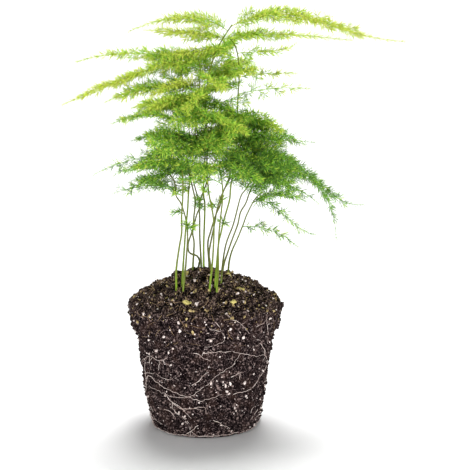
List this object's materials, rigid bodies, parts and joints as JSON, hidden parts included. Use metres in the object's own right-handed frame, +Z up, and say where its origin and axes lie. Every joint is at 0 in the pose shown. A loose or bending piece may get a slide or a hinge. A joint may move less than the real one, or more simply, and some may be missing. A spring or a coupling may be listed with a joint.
{
  "type": "lace fern plug plant",
  "caption": "Lace fern lifted out of its nursery pot: wiry stems with flat sprays of fine needles, in a tapered ball of soil with fine roots.",
  "frame": {"origin": "middle of the soil ball's flat base", "axes": "+Z up along the soil ball's axis, +X to the right seen from the front, and the front faces -Y"},
  "size_m": [0.2413, 0.1331, 0.3085],
  "materials": {
    "soil": "crumbly dark brown potting soil with white grains of perlite",
    "roots": "pale pinkish-white fine roots",
    "young_foliage": "bright yellow-green soft needles",
    "foliage": "mid green soft needles on olive stems",
    "old_foliage": "dark green soft needles on grey-green stems"
  },
  "bodies": {
    "root": {"soil_ball": "soil", "root_net": "roots", "leafy_stem_01": "young_foliage", "leafy_stem_02": "young_foliage", "leafy_stem_03": "young_foliage", "leafy_stem_04": "foliage", "leafy_stem_05": "old_foliage", "leafy_stem_06": "old_foliage", "leafy_stem_07": "foliage", "leafy_stem_08": "foliage", "leafy_stem_09": "old_foliage", "leafy_stem_10": "old_foliage", "leafy_stem_11": "old_foliage", "leafy_stem_12": "old_foliage", "leafy_stem_13": "old_foliage", "leafy_stem_14": "old_foliage", "leafy_stem_15": "foliage"}
  },
  "joints": []
}
